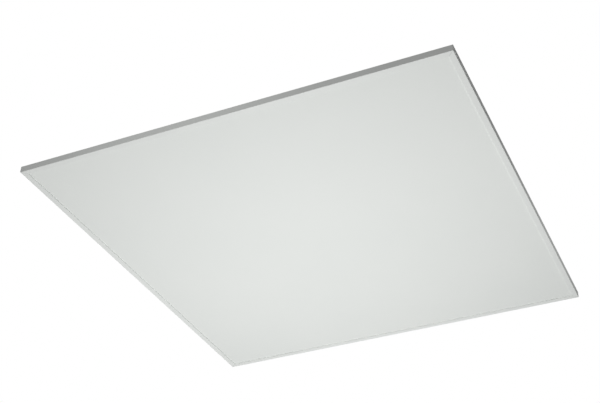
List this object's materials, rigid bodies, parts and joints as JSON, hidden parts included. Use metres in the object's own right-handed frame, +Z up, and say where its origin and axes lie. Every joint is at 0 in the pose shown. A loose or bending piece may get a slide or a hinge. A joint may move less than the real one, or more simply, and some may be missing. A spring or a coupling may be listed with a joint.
{
  "type": "recessed troffer light",
  "caption": "Slim square recessed troffer light: edge-lit diffuser panel in a mitred frame, with a gear box, hinged access cover and hold-down clips on its back.",
  "frame": {"origin": "centre of the plane under the frame's lip, which rests on the ceiling grid", "axes": "+Z up into the ceiling void, the lit face looks down (-Z), front is -Y, right is +X"},
  "size_m": [0.595, 0.595, 0.0455],
  "materials": {
    "frame_white": "satin",
    "opal_diffuser": "matte",
    "clear_guide": "gloss",
    "white_film": "matte",
    "grey_foam": "matte",
    "white_steel": "satin",
    "zinc_sheet": "satin",
    "spring_steel": "satin",
    "plated_steel": "satin",
    "rivet_alloy": "satin",
    "board_white": "matte",
    "diode_yellow": "gloss",
    "lead_white": "matte",
    "black_rubber": "matte",
    "black_plastic": "matte",
    "knob_plastic": "satin",
    "driver_case": "matte",
    "circuit_green": "satin",
    "can_blue": "gloss",
    "copper_coil": "satin",
    "sink_alloy": "satin",
    "terminal_grey": "matte",
    "brown_plastic": "satin",
    "blue_plastic": "satin",
    "green_plastic": "satin",
    "earth_brass": "satin"
  },
  "bodies": {
    "panel": {"back_plate": "white_steel", "back_plate_screws": "plated_steel", "backing_foam": "grey_foam", "clip_brackets": "zinc_sheet", "clip_pins": "plated_steel", "corner_keys": "plated_steel", "cover_hinge_leaf": "zinc_sheet", "cover_hinge_pin": "plated_steel", "diffuser_plate": "opal_diffuser", "driver_board": "circuit_green", "driver_capacitors": "can_blue", "driver_case_base": "driver_case", "driver_case_lid": "driver_case", "driver_coil": "copper_coil", "driver_cover": "zinc_sheet", "driver_cover_screws": "plated_steel", "driver_heat_sink": "sink_alloy", "driver_transformer": "black_plastic", "earth_lug": "earth_brass", "earth_screw": "earth_brass", "end_plate_inlet": "zinc_sheet", "end_plate_output": "zinc_sheet", "fixing_rivets": "rivet_alloy", "frame_rail_back": "frame_white", "frame_rail_front": "frame_white", "frame_rail_left": "frame_white", "frame_rail_right": "frame_white", "gear_tray": "zinc_sheet", "gear_tray_rivets": "rivet_alloy", "inlet_bushing": "black_plastic", "lead_earth": "green_plastic", "lead_line": "brown_plastic", "lead_neutral": "blue_plastic", "led_board_left": "board_white", "led_board_right": "board_white", "led_chips": "diode_yellow", "light_guide_plate": "clear_guide", "output_connector": "lead_white", "output_grommet": "black_rubber", "output_leads": "lead_white", "partition_plate": "zinc_sheet", "reflector_film": "white_film", "selector_switches": "black_plastic", "strip_leads": "lead_white", "suspension_tabs": "zinc_sheet", "terminal_block": "terminal_grey", "terminal_clamps": "plated_steel", "tray_screws": "plated_steel"},
    "access_cover": {"access_cover": "zinc_sheet"},
    "latch": {"cover_latch": "plated_steel"},
    "colour_selector": {"colour_selector_knob": "knob_plastic"},
    "power_selector": {"power_selector_knob": "knob_plastic"},
    "line_lever": {"terminal_lever_line": "brown_plastic"},
    "neutral_lever": {"terminal_lever_neutral": "blue_plastic"},
    "earth_lever": {"terminal_lever_earth": "green_plastic"},
    "clip_front_left": {"hold_down_clip_front_left": "spring_steel"},
    "clip_front_right": {"hold_down_clip_front_right": "spring_steel"},
    "clip_back_left": {"hold_down_clip_back_left": "spring_steel"},
    "clip_back_right": {"hold_down_clip_back_right": "spring_steel"}
  },
  "joints": [
    {"name": "access_cover_hinge", "type": "hinge", "parent": "panel", "child": "access_cover", "pos_m": [0.1024, 0.0502, 0.0417], "axis": [-1, 0, 0], "range_deg": [0, 110]},
    {"name": "latch_turn", "type": "hinge", "parent": "access_cover", "child": "latch", "pos_m": [0.1024, -0.033, 0.0437], "axis": [0, 0, -1], "range_deg": [0, 90]},
    {"name": "colour_selector_slide", "type": "slide", "parent": "panel", "child": "colour_selector", "axis": [1, 0, 0], "range_m": [-0.004, 0.004]},
    {"name": "power_selector_slide", "type": "slide", "parent": "panel", "child": "power_selector", "axis": [1, 0, 0], "range_m": [-0.004, 0.004]},
    {"name": "line_lever_pivot", "type": "hinge", "parent": "panel", "child": "line_lever", "pos_m": [0.0714, -0.01, 0.0221], "axis": [0, -1, 0], "range_deg": [0, 90]},
    {"name": "neutral_lever_pivot", "type": "hinge", "parent": "panel", "child": "neutral_lever", "pos_m": [0.0714, 0, 0.0221], "axis": [0, -1, 0], "range_deg": [0, 90]},
    {"name": "earth_lever_pivot", "type": "hinge", "parent": "panel", "child": "earth_lever", "pos_m": [0.0714, 0.01, 0.0221], "axis": [0, -1, 0], "range_deg": [0, 90]},
    {"name": "clip_front_left_pivot", "type": "hinge", "parent": "panel", "child": "clip_front_left", "pos_m": [-0.19, -0.2895, 0.012], "axis": [1, 0, 0], "range_deg": [0, 90]},
    {"name": "clip_front_right_pivot", "type": "hinge", "parent": "panel", "child": "clip_front_right", "pos_m": [0.19, -0.2895, 0.012], "axis": [1, 0, 0], "range_deg": [0, 90]},
    {"name": "clip_back_left_pivot", "type": "hinge", "parent": "panel", "child": "clip_back_left", "pos_m": [-0.19, 0.2895, 0.012], "axis": [-1, 0, 0], "range_deg": [0, 90]},
    {"name": "clip_back_right_pivot", "type": "hinge", "parent": "panel", "child": "clip_back_right", "pos_m": [0.19, 0.2895, 0.012], "axis": [-1, 0, 0], "range_deg": [0, 90]}
  ]
}
